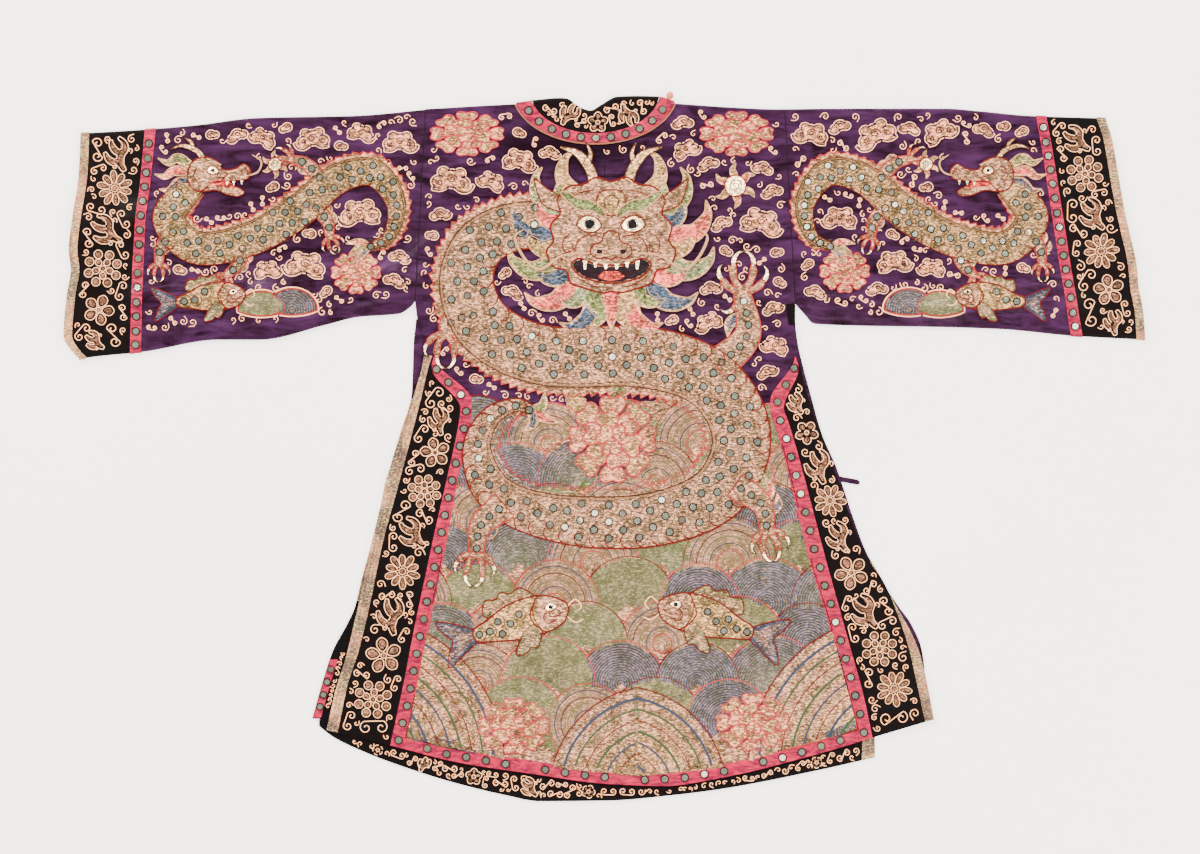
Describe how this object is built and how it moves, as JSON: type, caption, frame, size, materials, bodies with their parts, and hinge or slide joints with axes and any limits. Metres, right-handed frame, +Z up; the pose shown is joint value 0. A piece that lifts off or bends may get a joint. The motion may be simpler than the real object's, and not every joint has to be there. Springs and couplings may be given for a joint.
{
  "type": "chinese lady's dragon robe laid flat, back upwards",
  "caption": "Wide-sleeved, A-line robe lying flat on its front, with side vents, broad cuffs and borders, a round collar and turned-up front edges showing past the back.",
  "frame": {"origin": "centre of the laid-out robe's box, on the surface that it lies on", "axes": "+X along the sleeves to the wearer's right, +Y from hem to neck, +Z up out of the back's outer face"},
  "size_m": [1.6212, 1.0639, 0.0158],
  "materials": {
    "satin": "purple silk satin, embroidered",
    "lining": "plain purple satin, hidden layers",
    "border": "black satin with couched scrolls",
    "ribbon": "pink woven ribbon",
    "braid": "flat metal-thread braid, worn",
    "cord": "pale gold cord",
    "couching": "couched metal thread, rosy gold",
    "silks": "coloured silk thread, pastel and red",
    "mirror": "small foiled mirrors, dulled, thread rims"
  },
  "bodies": {
    "root": {"back_left": "satin", "back_right": "satin", "front_left": "lining", "front_right": "lining", "front_underlap": "lining", "front_side_turn": "satin", "front_side_braid": "braid", "front_band_turn": "border", "front_band_ribbon": "ribbon", "front_hem_turn": "border", "front_hem_braid": "braid", "sleeve_left": "satin", "sleeve_right": "satin", "cuff_left": "border", "cuff_right": "border", "cuff_ribbon_left": "ribbon", "cuff_ribbon_right": "ribbon", "cuff_braid_left": "braid", "cuff_braid_right": "braid", "side_band_left": "border", "side_band_right": "border", "side_ribbon_left": "ribbon", "side_ribbon_right": "ribbon", "hem_ribbon": "ribbon", "side_braid_left": "braid", "side_braid_right": "braid", "collar_band": "border", "collar_ribbon": "ribbon", "collar_cord": "cord", "knot_button": "cord", "side_tie": "satin", "underarm_tab": "border"}
  },
  "joints": []
}
